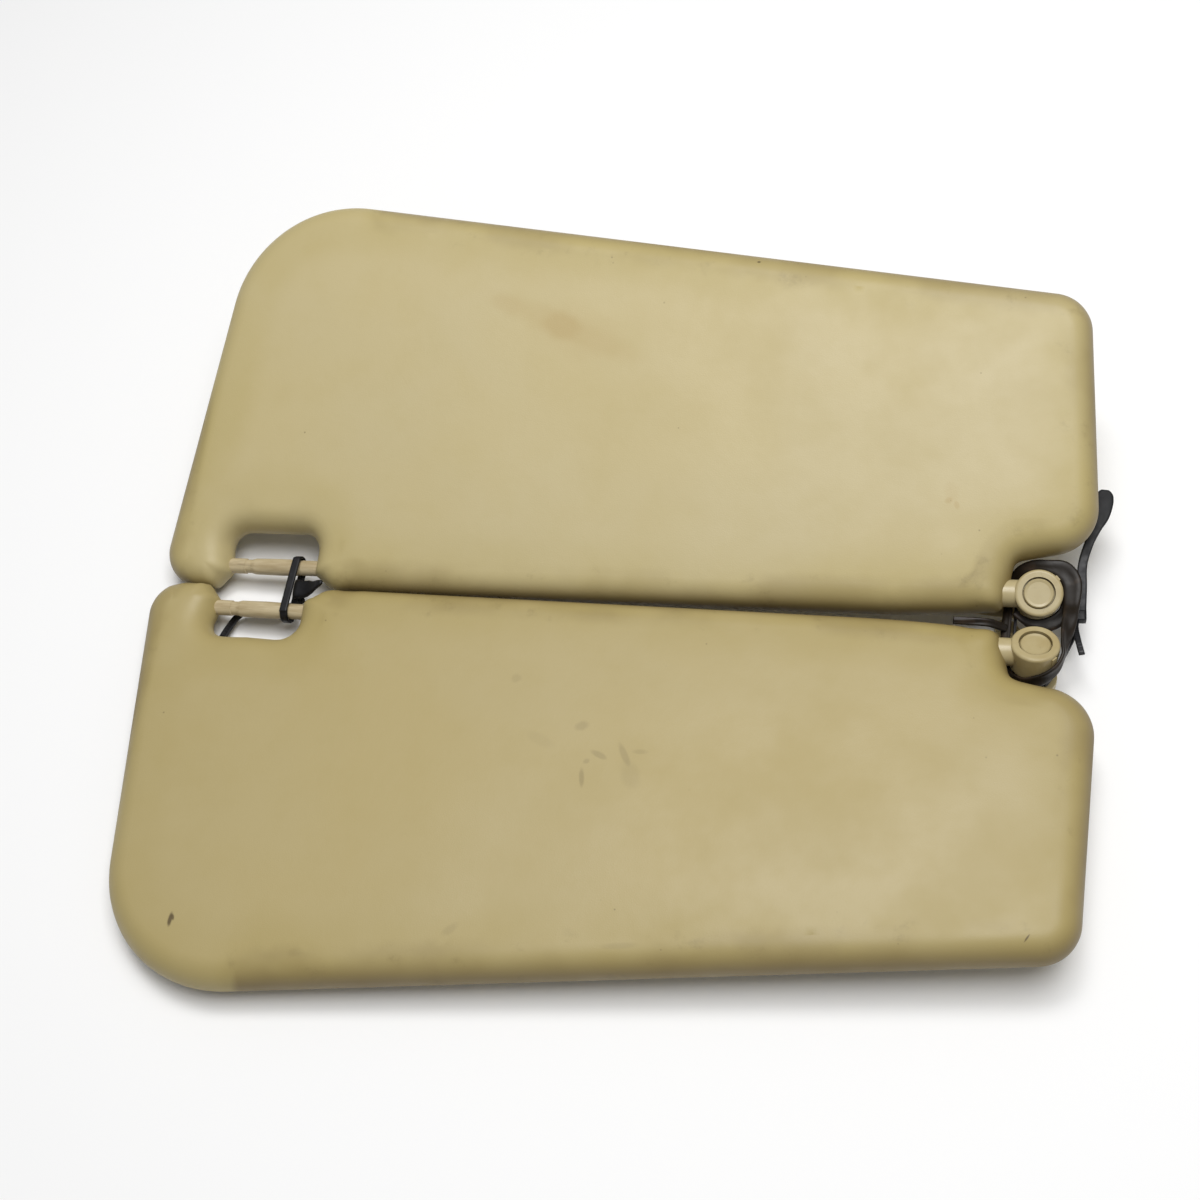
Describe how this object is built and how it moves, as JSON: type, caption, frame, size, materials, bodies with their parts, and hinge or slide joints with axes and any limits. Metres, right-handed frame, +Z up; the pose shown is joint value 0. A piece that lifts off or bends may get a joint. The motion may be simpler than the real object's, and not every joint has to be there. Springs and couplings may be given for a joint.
{
  "type": "sun visor",
  "caption": "Tied pair of padded car sun visors, left and right hand, each turning on a steel rod in a pivot elbow with a screw-on base and a clip bar.",
  "frame": {"origin": "middle of the bundle's box, on the floor", "axes": "+X along the hinge rods towards the pivot end, +Y across the hinge lines towards the upper visor's far edge, +Z up from the floor"},
  "size_m": [0.4209, 0.3574, 0.0801],
  "materials": {
    "vinyl": "soft grained vinyl, matte to satin, aged",
    "foam": "open-cell polyurethane foam",
    "board": "pressed fibre board",
    "steel": "bright zinc-plated steel",
    "nylon": "natural nylon",
    "cream_plastic": "moulded plastic, satin",
    "strap": "glossy dark brown, stretched",
    "tie": "black nylon, satin"
  },
  "bodies": {
    "upper_visor": {"upper_front_cover": "vinyl", "upper_back_cover": "vinyl", "upper_front_foam": "foam", "upper_back_foam": "foam", "upper_core_board": "board", "upper_hinge_sleeve": "steel", "upper_rod_bushes": "nylon", "upper_friction_spring": "steel", "upper_bar_sockets": "nylon", "upper_clip_bar": "cream_plastic", "upper_rivets": "steel"},
    "arms": {"upper_rod": "steel", "upper_rod_clip": "steel", "upper_elbow": "cream_plastic", "upper_head_cap": "cream_plastic", "lower_rod": "steel", "lower_rod_clip": "steel", "lower_elbow": "cream_plastic", "lower_head_cap": "cream_plastic", "head_strap": "strap", "head_tie": "tie", "bar_tie": "tie"},
    "upper_base": {"upper_base_plate": "cream_plastic", "upper_pivot_pin": "steel", "upper_spring_washer": "steel"},
    "lower_visor": {"lower_front_cover": "vinyl", "lower_back_cover": "vinyl", "lower_front_foam": "foam", "lower_back_foam": "foam", "lower_core_board": "board", "lower_hinge_sleeve": "steel", "lower_rod_bushes": "nylon", "lower_friction_spring": "steel", "lower_bar_sockets": "nylon", "lower_clip_bar": "cream_plastic", "lower_rivets": "steel"},
    "lower_base": {"lower_base_plate": "cream_plastic", "lower_pivot_pin": "steel", "lower_spring_washer": "steel"}
  },
  "joints": [
    {"name": "upper_hinge", "type": "hinge", "parent": "arms", "child": "upper_visor", "pos_m": [0.1796, 0.01735, 0.0245], "axis": [0.9994, 0, 0.0358], "range_deg": [0, 69]},
    {"name": "lower_hinge", "type": "hinge", "parent": "arms", "child": "lower_visor", "pos_m": [0.1783, -0.01045, 0.02446], "axis": [-0.9992, 0.0157, -0.0358], "range_deg": [0, 89]},
    {"name": "upper_swivel", "type": "hinge", "parent": "arms", "child": "upper_base", "pos_m": [0.1796, 0.01735, 0.0245], "axis": [0.0324, 0.4274, -0.9035], "range_deg": [0, 90]},
    {"name": "lower_swivel", "type": "hinge", "parent": "arms", "child": "lower_base", "pos_m": [0.1783, -0.01045, 0.02446], "axis": [0.0309, -0.2453, -0.969], "range_deg": [0, 90]}
  ]
}
